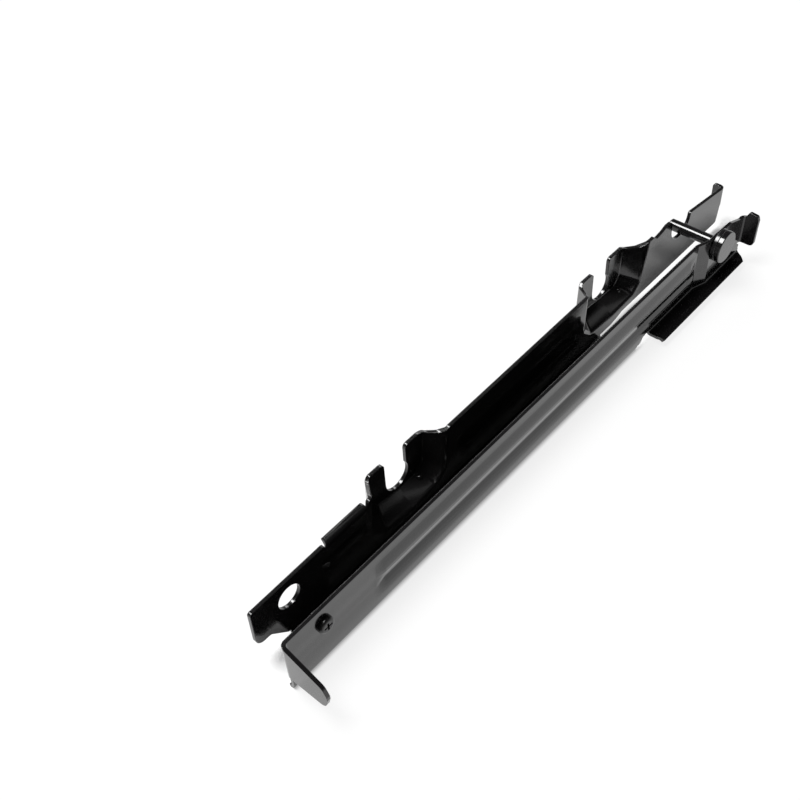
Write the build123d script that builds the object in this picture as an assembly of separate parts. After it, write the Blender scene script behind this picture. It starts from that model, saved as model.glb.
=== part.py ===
"""Pressed steel bumper bracket: a folded channel with two slotted humps on its hook wall,
a headed cross pin at the far end and a fixing screw at the near end. Millimetres, +Z up.
Stations along the channel are measured from the near end of the hook wall. The finished
pieces are then placed with the mounting hole's axis above the origin, which lies on the
underside of the web, midway between the walls. The hook wall is on the +Y side."""
import math
import os

from build123d import *

# The sheet and the channel's section
sheet = 2.0
web_width = 24.0
bend_outer = 3.5
bend_inner = bend_outer - sheet
plain_wall_height = 38.7
hook_wall_height = 42.2
hook_wall_near_height = 38.6

# The web and how far the walls run beyond it: every far station follows from these
web_length = 272.0
far_reach = 90.0
near_cut_hook = 18.6
near_cut_plain = 1.0
web_end_skew = 5.2
near_edge = -1.0
plain_wall_start = -3.0
end_stagger = 23.0

# Near end of the hook wall
lobe_height = 13.4
lobe_run = 7.6
lobe_round = 5.0
hole_station = 21.8
hole_height = 27.4
hole_diameter = 13.6

# Turned-out lip and pressed groove between the near end and the first hump
lip_start = 48.0
lip_length = 27.4
lip_fold_height = 36.8
lip_reach = 3.8
lip_angle = 28.0
lip_fall = 1.0
lip_corner = 1.5
groove_lead = 5.0
groove_length = 30.5
groove_height = 26.0
groove_width = 8.0
groove_depth = 1.2

# Humps pressed out of the hook wall, each with a slot that is open at the top
hump_depth = 9.8
hump_bend = 1.6
bend_steps = 3
hump_corner = 4.0
hump_one_station = 76.0
hump_two_setback = 19.0
hump_one_length = 57.0
hump_two_length = 63.0
slot_width = 15.5
slot_lead = 22.2
slot_swell = 0.45
slot_shift = 0.6
slot_one_floor = 16.4
slot_two_floor = 18.5
finger_round = 2.5
dimple_radius = 1.6
dimple_depth = 5.0
finger_drop = 0.7

# Long beads
bead_depth = 1.1
bead_run_out = 6.0
bead_gap = 3.6
hook_bead_height = 11.0
plain_bead_start = 55.5
plain_bead_height = 8.0

# Far end
far_edge_height = 6.3
notch_setback = 53.0
notch_floor = 25.0
notch_radius = 10.2
far_top_height = 36.0
far_tip_height = 30.6
far_lip_reach = 5.5
far_lip_low = 18.0
joggle_lead = 18.0
joggle_length = 9.0
joggle_depth = 3.2
flange_gap = 15.6
flange_reach = 10.4
flange_top = 6.6
flange_rim = 2.8
flange_rim_angle = 40.0
end_lip_reach = 12.6
end_lip_low = 14.0
end_lip_high = 32.6
corner = 1.5

# Near tab
tab_reach = 25.0
tab_low = 14.6

# Cross pin, washer and screw
pin_diameter = 7.0
pin_height = 31.0
pin_protrusion = 5.0
pin_clearance = 0.15
head_diameter = 19.8
head_height = 3.0
washer_height = 2.8
edge_break = 0.4
screw_height = 27.4
screw_head_diameter = 9.0
screw_head_height = 2.6
screw_shank_diameter = 5.0
screw_shank_length = 7.0
screw_clearance = 0.1
recess_width = 1.1
recess_span = 5.0
recess_depth = 1.2

half = web_width / 2
over = 6.0
top = hook_wall_height + over
hook_wall_end = web_length - hump_two_setback + hump_two_length + far_reach
plain_wall_end = hook_wall_end - end_stagger
web_end_plain = web_length + web_end_skew
notch_station = hook_wall_end - notch_setback
pin_station = notch_station
joggle_start = notch_station - joggle_lead
joggle_end = joggle_start + joggle_length
flange_start = web_length + flange_gap
hump_two_station = web_length - hump_two_setback
lip_end = lip_start + lip_length
tab_start = plain_wall_start + bend_outer


def shifted(points, distance):
    """The same open polyline, moved sideways by distance, with mitred corners."""
    moved = []
    for i, point in enumerate(points):
        normals = []
        for a, b in ((i - 1, i), (i, i + 1)):
            if 0 <= a and b < len(points):
                dx, dy = points[b][0] - points[a][0], points[b][1] - points[a][1]
                length = math.hypot(dx, dy)
                normals.append((-dy / length, dx / length))
        nx = sum(n[0] for n in normals) / len(normals)
        ny = sum(n[1] for n in normals) / len(normals)
        scale = distance / (nx * nx + ny * ny)
        moved.append((point[0] + nx * scale, point[1] + ny * scale))
    return moved


def outline(corners):
    """A closed face from corners of (across, up), each with a radius where it is rounded."""
    joints = []
    for before, here, after in zip(corners[-1:] + corners, corners, corners[1:] + corners[:1]):
        radius = here[2] if len(here) > 2 else 0
        a, b = math.dist(before[:2], here[:2]), math.dist(here[:2], after[:2])
        come = ((here[0] - before[0]) / a, (here[1] - before[1]) / a)
        leave = ((after[0] - here[0]) / b, (after[1] - here[1]) / b)
        cosine = max(-1.0, min(1.0, come[0] * leave[0] + come[1] * leave[1]))
        reach = radius * math.tan(math.acos(cosine) / 2)
        joints.append(((here[0] - come[0] * reach, here[1] - come[1] * reach),
                       (here[0] + leave[0] * reach, here[1] + leave[1] * reach), come))
    edges = []
    for (start, end, come), (following, _, _) in zip(joints, joints[1:] + joints[:1]):
        if math.dist(start, end) > 1e-6:
            edges.append(TangentArc(start, end, tangent=come))
        edges.append(Line(end, following))
    return make_face(edges)


def folded(points, inner_radius):
    """A folded sheet's section: the given line is one skin and the other lies to its left."""
    other = shifted(points, sheet)
    radii, other_radii = [], []
    for a, b, c in zip(points, points[1:], points[2:]):
        left_turn = (b[0] - a[0]) * (c[1] - b[1]) - (b[1] - a[1]) * (c[0] - b[0]) > 0
        radii.append(inner_radius + sheet if left_turn else inner_radius)
        other_radii.append(inner_radius if left_turn else inner_radius + sheet)
    skins = []
    for line, rounds in ((points, radii), (other, other_radii)):
        skins.append(FilletPolyline(*line, radius=rounds) if rounds else Polyline(*line))
    ends = [Line(points[0], other[0]), Line(points[-1], other[-1])]
    edges = [edge for skin in skins for edge in skin.edges()] + ends
    return make_face(edges)


def along(section, start, end):
    """A section drawn as (Y, Z), run along X between two stations."""
    plane = Plane(origin=(start, 0, 0), x_dir=(0, 1, 0), z_dir=(1, 0, 0))
    return extrude(plane * section, end - start)


def side_plate(corners, low, high):
    """An outline drawn as (station, height), between two values of Y."""
    plane = Plane(origin=(0, high, 0), x_dir=(1, 0, 0), z_dir=(0, -1, 0))
    return extrude(plane * outline(corners), high - low)


def plan_plate(corners, low, high):
    """An outline drawn as (station, Y), between two heights."""
    return extrude(Plane.XY.offset(low) * outline(corners), high - low)


def end_plate(corners, start, end):
    """An outline drawn as (Y, Z), between two stations."""
    return along(outline(corners), start, end)


def block(x_a, x_b, y_a, y_b, z_a, z_b):
    return Pos(x_a, y_a, z_a) * Box(x_b - x_a, y_b - y_a, z_b - z_a, align=(Align.MIN,) * 3)


def crosswise(station, height, radius, low, high):
    """A cylinder whose axis runs across the channel."""
    plane = Plane(origin=(station, low, height), x_dir=(1, 0, 0), z_dir=(0, 1, 0))
    return extrude(plane * Circle(radius), high - low)


def beaded(wall, profile, stations, skin, inward):
    """The wall with one strip of it pressed to a profile of (height, offset). Stations are
    (station, share of the full depth), skin is the outer face and inward points to the web."""
    far_side = skin + inward * 2 * sheet
    near_side = skin - inward
    strips = [wall - block(stations[0][0], stations[-1][0], min(near_side, far_side),
                           max(near_side, far_side), profile[0][0], profile[-1][0])]
    for (x_a, share_a), (x_b, share_b) in zip(stations, stations[1:]):
        ends = []
        for x, share in ((x_a, share_a), (x_b, share_b)):
            outer = [(skin - inward * share * off, z) for z, off in profile]
            inner = [(y + inward * sheet, z) for y, z in outer]
            plane = Plane(origin=(x, 0, 0), x_dir=(0, 1, 0), z_dir=(1, 0, 0))
            ends.append(plane * make_face(Polyline(*(outer + inner[::-1]), close=True)))
        strips.append(loft(ends, ruled=True))
    return strips[0] + strips[1:]


def hump(wall, foot, crest):
    """The wall with a hump pressed out of it. Foot and crest are corners of the same number.
    The slope between them runs into both in an arc, and the hollow lies one sheet behind."""
    width = (crest[1][0] - foot[1][0])
    slope = math.atan2(hump_depth, width)
    outer_crest = hump_bend + sheet
    foot_run = hump_bend * math.tan(slope / 2)
    crest_run = outer_crest * math.tan(slope / 2)
    arc = [slope * step / bend_steps for step in range(bend_steps + 1)]
    skins = []
    for foot_radius, crest_radius in ((hump_bend, outer_crest), (outer_crest, hump_bend)):
        sections = [(foot_radius * math.sin(angle) - foot_run,
                     hump_bend - foot_radius * math.cos(angle)) for angle in arc]
        sections += [(width + crest_run - crest_radius * math.sin(angle),
                      hump_depth - outer_crest + crest_radius * math.cos(angle))
                     for angle in reversed(arc)]
        faces = []
        for run, depth in sections:
            share = run / width
            corners = [
                (f[0] + (c[0] - f[0]) * share, f[1] + (c[1] - f[1]) * share, hump_corner)
                for f, c in zip(foot, crest)]
            corners[0], corners[-1] = corners[0][:2], corners[-1][:2]
            plane = Plane(origin=(0, half + depth, 0), x_dir=(1, 0, 0), z_dir=(0, -1, 0))
            faces.append(plane * outline(corners))
        skins.append(loft(faces, ruled=True))
    return (wall + skins[0]) - skins[1]


# Channel: web and both walls in one folded section
channel = along(
    folded([(-half, top), (-half, 0), (half, 0), (half, top)], bend_inner),
    plain_wall_start, hook_wall_end,
)

# The web's slanting ends, cut clear of the walls
near_gap = plan_plate(
    [(-over, half + 1), (near_cut_hook, half + 1), (near_cut_hook, half - sheet),
     (near_cut_plain, bend_outer - half), (-over, bend_outer - half)],
    -1, bend_outer,
)
far_gap = plan_plate(
    [(hook_wall_end + 1, half + 1), (web_length, half + 1), (web_length, half - bend_outer),
     (web_end_plain, bend_outer - half), (web_end_plain, -half - 1),
     (hook_wall_end + 1, -half - 1)],
    -1, bend_outer,
)
channel = channel - near_gap - far_gap
reach = (plain_wall_start - 1, hook_wall_end + 1)
hook = channel - block(*reach, -half - 1, 0, -1, top + 1)
plain = channel - block(*reach, 0, half + 1, -1, top + 1)

# Hook wall: pressed groove below the lip, and the long bead between the humps
groove_start = lip_start - groove_lead
groove_end = groove_start + groove_length
groove_ramp = groove_width / 2
groove_profile = [(groove_height + groove_width * share, -groove_depth * depth)
                  for share, depth in ((-0.62, 0), (-0.5, 0), (-0.25, 1), (0.25, 1), (0.5, 0),
                                       (0.62, 0))]
hook = beaded(
    hook, groove_profile,
    [(groove_start, 0), (groove_start + groove_ramp, 1), (groove_end - groove_ramp, 1),
     (groove_end, 0)],
    half, -1,
)
bead_shape = [(0.0, 0.0), (3.0, -0.1), (6.0, -0.42), (8.8, -1.05), (10.0, -0.85),
              (15.5, 0.9), (17.5, 0.95), (21.0, 0.5), (25.0, 0.0)]
hook_bead, plain_bead = (
    [(low + rise, share * bead_depth) for rise, share in bead_shape]
    for low in (hook_bead_height, plain_bead_height))
hook_bead_start = hump_one_station + hump_one_length + 2 * bead_gap
hook_bead_end = hump_two_station - bead_gap
hook = beaded(
    hook, hook_bead,
    [(hook_bead_start, 0), (hook_bead_start + bead_run_out, 1),
     (hook_bead_end - bead_run_out, 1), (hook_bead_end, 0)],
    half, -1,
)

# The two humps, each drawn from its left side round the bottom to its right side
one, two = hump_one_station, hump_two_station
one_end, two_end = one + hump_one_length, two + hump_two_length
hook = hump(
    hook,
    [(one + 2.6, top), (one + 0.8, 17.0), (one + 9.5, 8.6), (one + 30.0, 6.4),
     (one_end - 8.0, 8.8), (one_end - 0.6, 14.0), (one_end + 3.0, top)],
    [(one + 10.4, top), (one + 9.6, 20.6), (one + 13.8, 16.8), (one + 31.0, 14.4),
     (one_end - 13.0, 14.6), (one_end - 7.0, 20.0), (one_end - 5.0, top)],
)
hook = hump(
    hook,
    [(two + 2.6, top), (two + 0.6, 18.0), (two + 8.0, 11.0), (two + 30.0, 9.2),
     (two_end - 10.0, 10.6), (two_end - 3.6, 16.0), (two_end + 1.2, top)],
    [(two + 10.2, top), (two + 8.6, 22.2), (two + 12.8, 18.4), (two + 31.0, 16.8),
     (two_end - 16.0, 16.6), (two_end - 11.6, 22.0), (two_end - 9.4, top)],
)

# A small dimple punched into the foot of each hump, raised on its inner side
for station, height in ((one_end - 13.5, 13.8), (two_end - 17.0, 15.5)):
    middle = Vector(station, half + dimple_depth, height)
    hook = hook + Pos(*middle) * Sphere(dimple_radius)
    outward = Vector(0, dimple_radius * 0.55, -dimple_radius * 0.9)
    hook = hook - Pos(*(middle + outward)) * Sphere(dimple_radius * 0.6)

# Outline of the hook wall, seen from its side, with the two open slots and the notch
slots = []
for station, floor in ((one + slot_lead, slot_one_floor), (two + slot_lead, slot_two_floor)):
    round_radius = slot_width / 2 + slot_swell
    middle = station + slot_width / 2 + slot_shift
    slots.append((station, station + slot_width, middle, floor + round_radius, round_radius))
(one_a, one_b, _, one_mid, _), (two_a, two_b, _, two_mid, _) = slots
tip = hook_wall_height - finger_drop
crown = hook_wall_height + 1.0
hook_outline = [
    (near_edge, lobe_height, lobe_round), (near_edge + 0.5, hook_wall_near_height, corner),
    (lip_start - 1.5, hook_wall_near_height + 0.6, corner),
    (lip_start, lip_fold_height - 3), (lip_end, lip_fold_height - 3),
    (lip_end + 1.2, hook_wall_height - 0.4, corner),
    (one + 3.6, hook_wall_height - 0.4, corner), (one + 9.6, tip - 1.8, corner),
    (one + 12.5, tip, corner), (one_a, tip, finger_round), (one_a, one_mid), (one_b, one_mid),
    (one_b, tip - 0.6, finger_round), (one_end - 9.5, tip - 0.7, finger_round),
    (one_end - 4.5, tip - 2.2, finger_round), (one_end - 1.0, tip - 2.0, finger_round),
    (one_end + 3.4, hook_wall_height, finger_round),
    (two + 3.0, crown, finger_round), (two + 9.0, tip - 0.8, corner),
    (two + 12.0, tip + 0.8, corner), (two_a, tip + 0.8, finger_round), (two_a, two_mid),
    (two_b, two_mid), (two_b, tip + 0.9, finger_round), (two_end - 12.5, tip + 0.8, finger_round),
    (two_end - 9.0, tip - 0.9, finger_round), (two_end - 4.5, tip - 0.6, finger_round),
    (two_end + 0.6, crown, finger_round), (two_end + 6.0, crown, finger_round),
    (two_end + 9.2, tip - 1.2, finger_round),
    (notch_station - notch_radius - 11.5, tip - 0.4, finger_round),
    (notch_station - notch_radius - 6.6, tip + 1.2, finger_round),
    (notch_station - notch_radius - 0.8, tip + 0.8, finger_round),
    (notch_station - notch_radius, notch_floor, notch_radius - 0.2),
    (notch_station + notch_radius, notch_floor, notch_radius - 0.4),
    (notch_station + notch_radius + 0.3, far_top_height, corner),
    (hook_wall_end - bend_outer, far_tip_height), (hook_wall_end - bend_outer, far_lip_low),
    (hook_wall_end - 4.5, 11.2, corner), (hook_wall_end - 5.5, far_edge_height, corner),
    (web_length + 22, far_edge_height, corner), (web_length + 17.5, 4.8, corner),
    (web_length + 8, 3.0, corner), (web_length + 1, 0.0), (web_length, -1), (near_cut_hook, -1),
    (near_cut_hook, 2.2), (lobe_run, lobe_height, finger_round),
]
hook = hook & side_plate(hook_outline, -0.5, half + hump_depth + 1)
for _, _, middle, height, radius in slots:
    hook = hook - crosswise(middle, height, radius, half + 2 * sheet, half + hump_depth + 1)
hook = hook - crosswise(hole_station, hole_height, hole_diameter / 2, 0, half + over)

# Turned-out lip, and the end lip beyond the notch
rise = math.radians(lip_angle)
lip_tip = lip_fold_height + lip_reach * math.cos(rise) + sheet / 2
lip = along(
    folded([(half, lip_fold_height - 4), (half, lip_fold_height),
            (half + lip_reach * math.sin(rise), lip_fold_height + lip_reach * math.cos(rise))],
           bend_inner),
    lip_start, lip_end,
)
lip = lip & side_plate(
    [(lip_start, lip_fold_height - 4), (lip_start, lip_tip, lip_corner),
     (lip_end, lip_tip - lip_fall, lip_corner), (lip_end, lip_fold_height - 4)],
    0, half + over,
)
far_lip = extrude(
    Plane.XY.offset(far_lip_low) * folded(
        [(hook_wall_end - 9, half - sheet), (hook_wall_end, half - sheet),
         (hook_wall_end, half + far_lip_reach)], bend_inner),
    far_tip_height - far_lip_low,
)
far_lip = far_lip & end_plate(
    [(0, far_lip_low), (0, far_tip_height), (half + far_lip_reach, far_tip_height, corner),
     (half + far_lip_reach, far_lip_low, corner)],
    hook_wall_end - 10, hook_wall_end + 1)
hook = hook + lip + far_lip

# Plain wall: long bead, then the flanged far end with its joggle
plain_bead_end = joggle_start - 1
plain = beaded(
    plain, plain_bead,
    [(plain_bead_start, 0), (plain_bead_start + bead_run_out, 1),
     (plain_bead_end - bead_run_out, 1), (plain_bead_end, 0)],
    -half, 1,
)
plain = plain & side_plate(
    [(tab_start, plain_wall_height), (joggle_start, plain_wall_height),
     (joggle_start, 2 * flange_top), (flange_start, 2 * flange_top),
     (flange_start, flange_top + 1), (web_end_plain + 5, flange_top, corner),
     (web_end_plain + 2, 3.0, corner), (web_end_plain, -1), (tab_start - corner, -1),
     (tab_start - corner, tab_low), (tab_start, tab_low)],
    -half - over, 0.5)
tilt = math.radians(flange_rim_angle)
flange_edge = -half - flange_reach


def flanged(shift, station):
    """The far end's section: wall, outward foot flange and its turned-down rim."""
    rim_start = flange_edge + flange_rim * math.cos(tilt)
    section = folded(
        [(-half - shift, plain_wall_height), (-half - shift, flange_top),
         (rim_start, flange_top), (flange_edge, flange_top - flange_rim * math.sin(tilt))],
        bend_inner)
    return Plane(origin=(station, 0, 0), x_dir=(0, 1, 0), z_dir=(1, 0, 0)) * section


far_wall = extrude(flanged(0, flange_start), joggle_start - flange_start, dir=(1, 0, 0))
far_wall = far_wall - block(
    flange_start - 1, plain_bead_end, -half - 1, 2 * sheet - half, 2 * flange_top, top)
far_wall = far_wall + loft(
    [flanged(0, joggle_start), flanged(joggle_depth, joggle_end)], ruled=True)
far_wall = far_wall + extrude(
    flanged(joggle_depth, joggle_end), plain_wall_end - joggle_end, dir=(1, 0, 0))
far_wall = far_wall & side_plate(
    [(flange_start, -1), (flange_start, top), (joggle_end, top),
     (joggle_end + 5, plain_wall_height), (plain_wall_end - 16, plain_wall_height - 1.2, over),
     (plain_wall_end - bend_outer, end_lip_high), (plain_wall_end - bend_outer, end_lip_low),
     (plain_wall_end, end_lip_low - 2, corner), (plain_wall_end, -1)],
    -half - 2 * over, 0)
far_wall = far_wall & plan_plate(
    [(flange_start, 0), (flange_start, -half - over), (flange_start + 1.5, flange_edge - 0.5),
     (plain_wall_end - 5, flange_edge - 0.5), (plain_wall_end, -half - joggle_depth),
     (plain_wall_end, 0)],
    -1, top)

# End lip at the far end and tab at the near end, both turned outward from the plain wall
far_skin = -half - joggle_depth
end_lip = extrude(
    Plane.XY.offset(end_lip_low) * folded(
        [(plain_wall_end - 12, far_skin), (plain_wall_end, far_skin),
         (plain_wall_end, -half - end_lip_reach)], bend_inner),
    plain_wall_height - end_lip_low,
)
lip_edge = -half - end_lip_reach
end_lip = end_lip & end_plate(
    [(0, end_lip_low), (0, end_lip_high), (far_skin - 1, end_lip_high, corner),
     (-half - 6.0, plain_wall_height - 2.0, corner),
     (lip_edge + 1.0, plain_wall_height - 2.6, corner),
     (lip_edge, plain_wall_height - 5.5, corner),
     (lip_edge + 0.4, end_lip_low, 2 * corner)],
    plain_wall_end - 13, plain_wall_end + over)
tab = extrude(
    Plane.XY.offset(tab_low) * folded(
        [(plain_wall_start + 8, sheet - half), (plain_wall_start, sheet - half),
         (plain_wall_start, -half - tab_reach)], bend_inner),
    plain_wall_height - tab_low,
)
tab_edge = -half - tab_reach
tab = tab & end_plate(
    [(0, tab_low), (0, plain_wall_height), (-half, plain_wall_height, corner),
     (tab_edge + 2.4, 30.0, 3 * corner), (tab_edge - 0.4, 24.0, 3 * corner),
     (tab_edge + 2.0, tab_low, 3 * corner)],
    plain_wall_start - 1, plain_wall_start + 9)

# Holes for the cross pin and the screw, then one sheet body
body = hook + plain + far_wall + end_lip + tab
body = body - crosswise(
    pin_station, pin_height, pin_diameter / 2 + pin_clearance, -half - over, 0)
body = body - crosswise(
    hole_station, screw_height, screw_shank_diameter / 2 + screw_clearance, -half - over, 0)

# Cross pin and its washer
washer_face = far_skin - washer_height
pin = crosswise(
    pin_station, pin_height, pin_diameter / 2, washer_face, half + pin_protrusion)
pin = pin + crosswise(
    pin_station, pin_height, head_diameter / 2, washer_face - head_height, washer_face)
pin = chamfer(pin.edges().filter_by(GeomType.CIRCLE).sort_by(Axis.Y)[-1:], edge_break * 2)
pin = chamfer(pin.edges().filter_by(GeomType.CIRCLE).sort_by(Axis.Y)[:1], edge_break)
washer = crosswise(pin_station, pin_height, head_diameter / 2, washer_face, far_skin)
washer = washer - crosswise(
    pin_station, pin_height, pin_diameter / 2 + pin_clearance, washer_face - 1, far_skin + 1)
washer = chamfer(washer.edges().filter_by(GeomType.CIRCLE).sort_by(SortBy.RADIUS)[-2:], edge_break)

# Pan-head screw with a cross recess
screw = crosswise(
    hole_station, screw_height, screw_head_diameter / 2, -half - screw_head_height, -half)
screw = fillet(
    screw.edges().filter_by(GeomType.CIRCLE).sort_by(Axis.Y)[:1], screw_head_height * 0.55)
screw = screw + crosswise(
    hole_station, screw_height, screw_shank_diameter / 2, -half, screw_shank_length - half)
for width, span in ((recess_width, recess_span), (recess_span, recess_width)):
    screw = screw - Pos(hole_station, -half - screw_head_height, screw_height) * Box(
        width, 2 * recess_depth, span)

# Export, with the mounting hole's axis above the origin
os.makedirs("parts", exist_ok=True)
for name, piece in (("channel_body", body), ("cross_pin", pin), ("pin_washer", washer),
                    ("fixing_screw", screw)):
    export_step(Pos(-hole_station, 0, 0) * piece, f"parts/{name}.step")
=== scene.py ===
import math

import bpy
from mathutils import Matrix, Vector


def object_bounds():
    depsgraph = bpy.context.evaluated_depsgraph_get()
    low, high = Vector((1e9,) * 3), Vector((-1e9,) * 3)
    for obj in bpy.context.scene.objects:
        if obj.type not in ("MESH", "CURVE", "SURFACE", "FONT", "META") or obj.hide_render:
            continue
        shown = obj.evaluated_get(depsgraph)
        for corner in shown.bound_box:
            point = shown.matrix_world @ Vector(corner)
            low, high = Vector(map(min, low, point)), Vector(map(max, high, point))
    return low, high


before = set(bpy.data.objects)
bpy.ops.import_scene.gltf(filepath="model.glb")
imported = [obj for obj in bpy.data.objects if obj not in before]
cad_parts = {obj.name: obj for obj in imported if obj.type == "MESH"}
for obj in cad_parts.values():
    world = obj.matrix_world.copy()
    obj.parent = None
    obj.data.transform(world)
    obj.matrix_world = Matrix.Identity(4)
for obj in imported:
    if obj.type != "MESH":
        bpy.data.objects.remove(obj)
cad_low, cad_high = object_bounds()

# Channel body
# One strip of 2 mm steel, blanked and folded into a channel, with its humps, beads, lips and
# tabs pressed in the same tool. It is dipped in a glossy black electrocoat after forming.
coat_black = (0.004, 0.004, 0.0045, 1.0)
coat_thin_black = (0.010, 0.0095, 0.0095, 1.0)
coat_ior = 1.60
orange_peel_size = 1400.0
orange_peel_depth = 0.0001
speck_size = 900.0
speck_from, speck_to = 0.66, 0.74
edge_round_samples = 6


def dipped_coat_group():
    """Where a dipped coat runs thicker or thinner, and its fine orange-peel surface."""
    group = bpy.data.node_groups.new("Dipped coat", "ShaderNodeTree")
    for name, way, kind in (
        ("Thick colour", "INPUT", "Color"), ("Thin colour", "INPUT", "Color"),
        ("Gloss", "INPUT", "Float"), ("Gloss spread", "INPUT", "Float"),
        ("Flow size", "INPUT", "Float"), ("Peel size", "INPUT", "Float"),
        ("Speck share", "INPUT", "Float"), ("Colour", "OUTPUT", "Color"),
        ("Roughness", "OUTPUT", "Float"), ("Peel", "OUTPUT", "Float"),
    ):
        group.interface.new_socket(name, in_out=way, socket_type="NodeSocket" + kind)

    nodes, links = group.nodes, group.links
    taken = nodes.new("NodeGroupInput")
    given = nodes.new("NodeGroupOutput")
    place = nodes.new("ShaderNodeTexCoord")

    flow = nodes.new("ShaderNodeTexNoise")
    flow.inputs["Detail"].default_value = 3.0
    links.new(place.outputs["Object"], flow.inputs["Vector"])
    links.new(taken.outputs["Flow size"], flow.inputs["Scale"])

    specks = nodes.new("ShaderNodeTexNoise")
    specks.inputs["Scale"].default_value = speck_size
    specks.inputs["Detail"].default_value = 2.0
    links.new(place.outputs["Object"], specks.inputs["Vector"])
    speck_mask = nodes.new("ShaderNodeMapRange")
    speck_mask.inputs["From Min"].default_value = speck_from
    speck_mask.inputs["From Max"].default_value = speck_to
    links.new(specks.outputs["Fac"], speck_mask.inputs["Value"])
    speck_amount = nodes.new("ShaderNodeMath")
    speck_amount.operation = "MULTIPLY"
    links.new(speck_mask.outputs["Result"], speck_amount.inputs[0])
    links.new(taken.outputs["Speck share"], speck_amount.inputs[1])

    thinness = nodes.new("ShaderNodeMath")
    thinness.operation = "MAXIMUM"
    links.new(flow.outputs["Fac"], thinness.inputs[0])
    links.new(speck_amount.outputs["Value"], thinness.inputs[1])
    colour = nodes.new("ShaderNodeMix")
    colour.data_type = "RGBA"
    links.new(thinness.outputs["Value"], colour.inputs["Factor"])
    links.new(taken.outputs["Thick colour"], colour.inputs["A"])
    links.new(taken.outputs["Thin colour"], colour.inputs["B"])
    links.new(colour.outputs["Result"], given.inputs["Colour"])

    roughness = nodes.new("ShaderNodeMath")
    roughness.operation = "MULTIPLY_ADD"
    links.new(thinness.outputs["Value"], roughness.inputs[0])
    links.new(taken.outputs["Gloss spread"], roughness.inputs[1])
    links.new(taken.outputs["Gloss"], roughness.inputs[2])
    links.new(roughness.outputs["Value"], given.inputs["Roughness"])

    peel = nodes.new("ShaderNodeTexNoise")
    peel.inputs["Detail"].default_value = 1.0
    links.new(place.outputs["Object"], peel.inputs["Vector"])
    links.new(taken.outputs["Peel size"], peel.inputs["Scale"])
    links.new(peel.outputs["Fac"], given.inputs["Peel"])
    return group


dipped_coat = dipped_coat_group()


def coated_material(name, thick, thin, gloss, gloss_spread, flow_size, speck_share, ior,
                    peel_strength, edge_round):
    """A black coat on steel, with its own values for the shared coat, and soft-edged."""
    material = bpy.data.materials.new(name)
    material.use_nodes = True
    nodes, links = material.node_tree.nodes, material.node_tree.links
    shader = nodes["Principled BSDF"]
    shader.inputs["IOR"].default_value = ior
    shader.inputs["Metallic"].default_value = 0.0
    coat = nodes.new("ShaderNodeGroup")
    coat.node_tree = dipped_coat
    for socket, value in (
        ("Thick colour", thick), ("Thin colour", thin), ("Gloss", gloss),
        ("Gloss spread", gloss_spread), ("Flow size", flow_size),
        ("Peel size", orange_peel_size), ("Speck share", speck_share),
    ):
        coat.inputs[socket].default_value = value
    rounded = nodes.new("ShaderNodeBevel")
    rounded.samples = edge_round_samples
    rounded.inputs["Radius"].default_value = edge_round
    relief = nodes.new("ShaderNodeBump")
    relief.inputs["Strength"].default_value = peel_strength
    relief.inputs["Distance"].default_value = orange_peel_depth
    links.new(coat.outputs["Colour"], shader.inputs["Base Color"])
    links.new(coat.outputs["Roughness"], shader.inputs["Roughness"])
    links.new(coat.outputs["Peel"], relief.inputs["Height"])
    links.new(rounded.outputs["Normal"], relief.inputs["Normal"])
    links.new(relief.outputs["Normal"], shader.inputs["Normal"])
    return material


def dress(node, material):
    """Gives a solid its finish."""
    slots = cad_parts[node].data.materials
    slots.clear()
    slots.append(material)


def smooth_profile(nodes, links, value, profile):
    """A smooth curve through a profile's pairs of place and level, read at a value."""
    first, last = profile[0][0], profile[-1][0]
    lowest = min(level for _, level in profile)
    highest = max(level for _, level in profile)
    share = nodes.new("ShaderNodeMapRange")
    share.inputs["From Min"].default_value = first
    share.inputs["From Max"].default_value = last
    links.new(value, share.inputs["Value"])
    ramp = nodes.new("ShaderNodeValToRGB")
    ramp.color_ramp.interpolation = "B_SPLINE"
    stops = ramp.color_ramp.elements
    while len(stops) < len(profile):
        stops.new(0.5)
    for stop, (at, level) in zip(stops, profile):
        stop.position = (at - first) / (last - first)
        grey = (level - lowest) / (highest - lowest)
        stop.color = (grey, grey, grey, 1.0)
    links.new(share.outputs["Result"], ramp.inputs["Fac"])
    back = nodes.new("ShaderNodeMapRange")
    back.inputs["To Min"].default_value = lowest
    back.inputs["To Max"].default_value = highest
    links.new(ramp.outputs["Color"], back.inputs["Value"])
    return back.outputs["Result"]


body_coat = coated_material(
    "Black electrocoat on pressed steel", thick=coat_black, thin=coat_thin_black, gloss=0.09,
    gloss_spread=0.09, flow_size=32.0, speck_share=0.10, ior=coat_ior, peel_strength=0.05,
    edge_round=0.0006)

# The outer face of the plain wall leans its normals up by these amounts at each height, and
# along the bead only, so that the shallow bead shows bands as strong as in the photograph.
bead_tilt = [(0.004, -0.05), (0.0072, 0.0), (0.009, 0.13), (0.012, 0.24), (0.0148, 0.28),
             (0.0163, 0.22), (0.0175, 0.10), (0.0188, 0.24), (0.0222, 0.22), (0.0245, -0.05),
             (0.027, 0.03), (0.030, 0.15), (0.033, 0.09), (0.036, 0.0)]
bead_run = [(0.031, 0.0), (0.040, 1.0), (0.303, 1.0), (0.314, 0.0)]
channel_middle = 0.0
outward_at_least = -0.5

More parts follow.
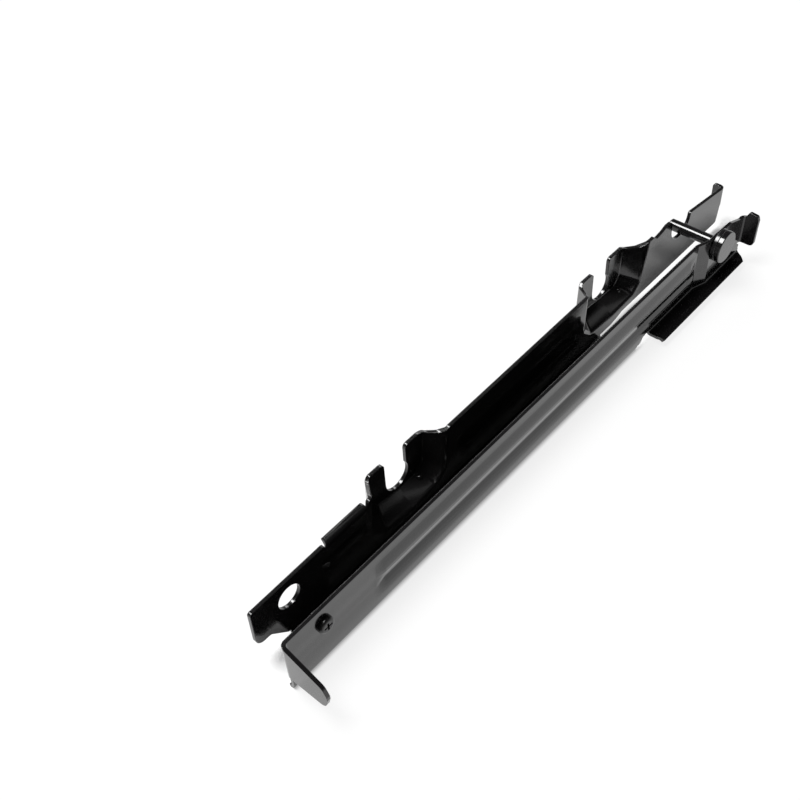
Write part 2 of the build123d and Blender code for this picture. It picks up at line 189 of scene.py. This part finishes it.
nodes, links = body_coat.node_tree.nodes, body_coat.node_tree.links
place = nodes.new("ShaderNodeTexCoord")
along = nodes.new("ShaderNodeSeparateXYZ")
links.new(place.outputs["Object"], along.inputs["Vector"])
surface = nodes.new("ShaderNodeNewGeometry")
facing = nodes.new("ShaderNodeSeparateXYZ")
links.new(surface.outputs["Normal"], facing.inputs["Vector"])
shares = [smooth_profile(nodes, links, along.outputs["X"], bead_run)]
for value, limit in (
    (along.outputs["Y"], channel_middle), (facing.outputs["Y"], outward_at_least),
):
    below = nodes.new("ShaderNodeMath")
    below.operation = "LESS_THAN"
    below.inputs[1].default_value = limit
    links.new(value, below.inputs[0])
    shares.append(below.outputs["Value"])
amount = smooth_profile(nodes, links, along.outputs["Z"], bead_tilt)
for share in shares:
    kept = nodes.new("ShaderNodeMath")
    kept.operation = "MULTIPLY"
    links.new(amount, kept.inputs[0])
    links.new(share, kept.inputs[1])
    amount = kept.outputs["Value"]
upward = nodes.new("ShaderNodeCombineXYZ")
links.new(amount, upward.inputs["Z"])
leaning = nodes.new("ShaderNodeVectorMath")
leaning.operation = "ADD"
links.new(nodes["Bevel"].outputs["Normal"], leaning.inputs[0])
links.new(upward.outputs["Vector"], leaning.inputs[1])
even = nodes.new("ShaderNodeVectorMath")
even.operation = "NORMALIZE"
links.new(leaning.outputs["Vector"], even.inputs[0])
links.new(even.outputs["Vector"], nodes["Bump"].inputs["Normal"])
dress("channel_body", body_coat)

# Cross pin
# A turned and headed steel pin of 7 mm, set through the plain wall, with a broad flat head
# outside it. It has the same coat as the body, with less orange peel on its turned skin.
pin_coat = coated_material(
    "Black coat on turned steel", thick=coat_black, thin=coat_thin_black, gloss=0.10,
    gloss_spread=0.06, flow_size=60.0, speck_share=0.2, ior=coat_ior, peel_strength=0.03,
    edge_round=0.0003)
dress("cross_pin", pin_coat)

# Pin washer
# A flat steel ring between the pin's head and the wall, clamped there by the pin. Its black
# coat is a little duller than the pin's.
washer_coat = coated_material(
    "Black coat on the washer", thick=coat_black, thin=coat_thin_black, gloss=0.16,
    gloss_spread=0.08, flow_size=60.0, speck_share=0.2, ior=coat_ior, peel_strength=0.04,
    edge_round=0.00025)
dress("pin_washer", washer_coat)

# Fixing screw
# A pan-head machine screw of 5 mm with a cross recess, driven into the plain wall beside the
# near tab. It has a thin black finish that is duller than the coat around it.
screw_coat = coated_material(
    "Black finish on the screw", thick=(0.006, 0.006, 0.0065, 1.0),
    thin=(0.018, 0.0175, 0.017, 1.0), gloss=0.14, gloss_spread=0.10, flow_size=300.0,
    speck_share=0.3, ior=1.38, peel_strength=0.06, edge_round=0.0002)
dress("fixing_screw", screw_coat)

# Studio
# A plain white sweep under the bracket, a large soft lamp overhead, a strip lamp beyond the
# far end, and a room that is pale near the horizon and dark above it, which the upward faces
# mirror. The floor glows white for the camera and in mirrors, so it keeps only a faint soft
# shadow of the bracket; in a rectangle right under the bracket that glow is cut to a tenth,
# so the floor is darker there: painted shade, the lamps' own shade let show only in that
# place.
pure_white = (1.0, 1.0, 1.0, 1.0)
floor_white = (0.86, 0.86, 0.86, 1.0)
floor_roughness = 0.9
floor_reach = 6.0
floor_gap = 0.0002
floor_show = 0.84
mirrored_far = 0.5
# Painted shade under the bracket: the glow share left in that rectangle, then its soft edges
# across and along the bracket.
shade_pool_glow = 0.10
shade_pool_width = (0.009, 0.0135)
shade_pool_length = (0.205, 0.235)
fade_out = (0.45, 0.95)
room_level, room_dark = 0.50, 0.02
room_pale_below, room_dark_above = -0.02, 0.40

floor_mesh = bpy.data.meshes.new("floor")
floor_mesh.from_pydata(
    [(-floor_reach, -floor_reach, 0), (floor_reach, -floor_reach, 0),
     (floor_reach, floor_reach, 0), (-floor_reach, floor_reach, 0)], [], [(0, 1, 2, 3)])
floor = bpy.data.objects.new("floor", floor_mesh)
floor.location.z = cad_low.z - floor_gap
bpy.context.collection.objects.link(floor)

paper = bpy.data.materials.new("White sweep")
paper.use_nodes = True
nodes, links = paper.node_tree.nodes, paper.node_tree.links
matt = nodes["Principled BSDF"]
matt.inputs["Base Color"].default_value = floor_white
matt.inputs["Roughness"].default_value = floor_roughness
shown = nodes.new("ShaderNodeEmission")
shown.inputs["Strength"].default_value = 1.0
ray = nodes.new("ShaderNodeLightPath")
spot = nodes.new("ShaderNodeTexCoord")


def combined(operation, *values):
    """One sum of the paper's material; a number is set on the socket, an output is linked."""
    node = nodes.new("ShaderNodeMath")
    node.operation = operation
    for socket, value in zip(node.inputs, values):
        if isinstance(value, (int, float)):
            socket.default_value = value
        else:
            links.new(value, socket)
    return node.outputs["Value"]


def stepped(value, start, end):
    """0 before the start and 1 after the end, with a smooth change between them."""
    node = nodes.new("ShaderNodeMapRange")
    node.interpolation_type = "SMOOTHSTEP"
    node.inputs["From Min"].default_value = start
    node.inputs["From Max"].default_value = end
    links.new(value, node.inputs["Value"])
    return node.outputs["Result"]


apart = nodes.new("ShaderNodeSeparateXYZ")
links.new(spot.outputs["Object"], apart.inputs["Vector"])
lengthwise = combined("SUBTRACT", apart.outputs["X"], (cad_low.x + cad_high.x) / 2)
sideways = apart.outputs["Y"]
distance = combined("SQRT", combined(
    "MULTIPLY_ADD", lengthwise, lengthwise, combined("MULTIPLY", sideways, sideways)))
far_off = stepped(distance, *fade_out)
# The painted pool of shade: outside this rectangle under the bracket the floor keeps its
# glow, inside it the glow is cut and the floor renders darker.
beyond_sides = stepped(combined("ABSOLUTE", sideways), *shade_pool_width)
beyond_ends = stepped(combined("ABSOLUTE", lengthwise), *shade_pool_length)
glow_outside_shade_pool = combined("MULTIPLY_ADD", combined("MAXIMUM", beyond_sides, beyond_ends),
                      1 - shade_pool_glow, shade_pool_glow)
to_camera = combined("MULTIPLY_ADD", far_off, 1 - floor_show, floor_show)
to_mirrors = combined("MULTIPLY_ADD", far_off, mirrored_far - 1, 1.0)
from_camera = combined("MULTIPLY", to_camera, ray.outputs["Is Camera Ray"])
from_both = combined("MULTIPLY_ADD", to_mirrors, ray.outputs["Is Glossy Ray"], from_camera)
blend = nodes.new("ShaderNodeMixShader")
links.new(combined("MULTIPLY", from_both, glow_outside_shade_pool), blend.inputs["Fac"])
links.new(matt.outputs["BSDF"], blend.inputs[1])
links.new(shown.outputs["Emission"], blend.inputs[2])
links.new(blend.outputs["Shader"], nodes["Material Output"].inputs["Surface"])
floor_mesh.materials.append(paper)

room = bpy.data.worlds.new("Pale room")
room.use_nodes = True
bpy.context.scene.world = room
nodes, links = room.node_tree.nodes, room.node_tree.links
lit = nodes["Background"]
lit.inputs["Color"].default_value = pure_white
around = nodes.new("ShaderNodeTexCoord")
height = nodes.new("ShaderNodeSeparateXYZ")
links.new(around.outputs["Generated"], height.inputs["Vector"])
level = nodes.new("ShaderNodeMapRange")
level.interpolation_type = "SMOOTHSTEP"
level.inputs["From Min"].default_value = room_pale_below
level.inputs["From Max"].default_value = room_dark_above
level.inputs["To Min"].default_value = room_level
level.inputs["To Max"].default_value = room_dark
links.new(height.outputs["Z"], level.inputs["Value"])
links.new(level.outputs["Result"], lit.inputs["Strength"])
behind = nodes.new("ShaderNodeBackground")
behind.inputs["Color"].default_value = pure_white
behind.inputs["Strength"].default_value = 1.0
ray = nodes.new("ShaderNodeLightPath")
blend = nodes.new("ShaderNodeMixShader")
links.new(ray.outputs["Is Camera Ray"], blend.inputs["Fac"])
links.new(lit.outputs["Background"], blend.inputs[1])
links.new(behind.outputs["Background"], blend.inputs[2])
links.new(blend.outputs["Shader"], nodes["World Output"].inputs["Surface"])


def soft_lamp(name, place, aim, across, high, power):
    """A flat rectangular lamp at a place, turned to face the point that it aims at."""
    light = bpy.data.lights.new(name, "AREA")
    light.shape = "RECTANGLE"
    light.size, light.size_y = across, high
    light.energy = power
    lamp = bpy.data.objects.new(name, light)
    lamp.location = place
    lamp.rotation_euler = (Vector(aim) - Vector(place)).to_track_quat("-Z", "Y").to_euler()
    bpy.context.collection.objects.link(lamp)


soft_lamp("overhead softbox", place=(-0.25, 0.45, 1.6), aim=(0.0, 0.0, 0.0), across=0.8,
          high=0.8, power=40.0)
soft_lamp("edge strip", place=(1.04, 0.87, 0.88), aim=(1.04, 0.0, 0.0), across=1.45,
          high=0.35, power=8.0)

# Camera
# It looks down over the near end and the plain wall, with the channel running away to the
# upper right, as in the photograph.
camera_place = (-0.15676, -0.22476, 0.44061)
camera_turn_degrees = (43.46, 3.22, -48.77)
view = bpy.data.cameras.new("camera")
view.sensor_width = 36.0
view.lens = 48.87
view.clip_start, view.clip_end = 0.01, 50.0
camera = bpy.data.objects.new("camera", view)
camera.location = camera_place
camera.rotation_euler = tuple(math.radians(angle) for angle in camera_turn_degrees)
bpy.context.collection.objects.link(camera)
bpy.context.scene.camera = camera
bpy.context.scene.view_settings.view_transform = "Standard"
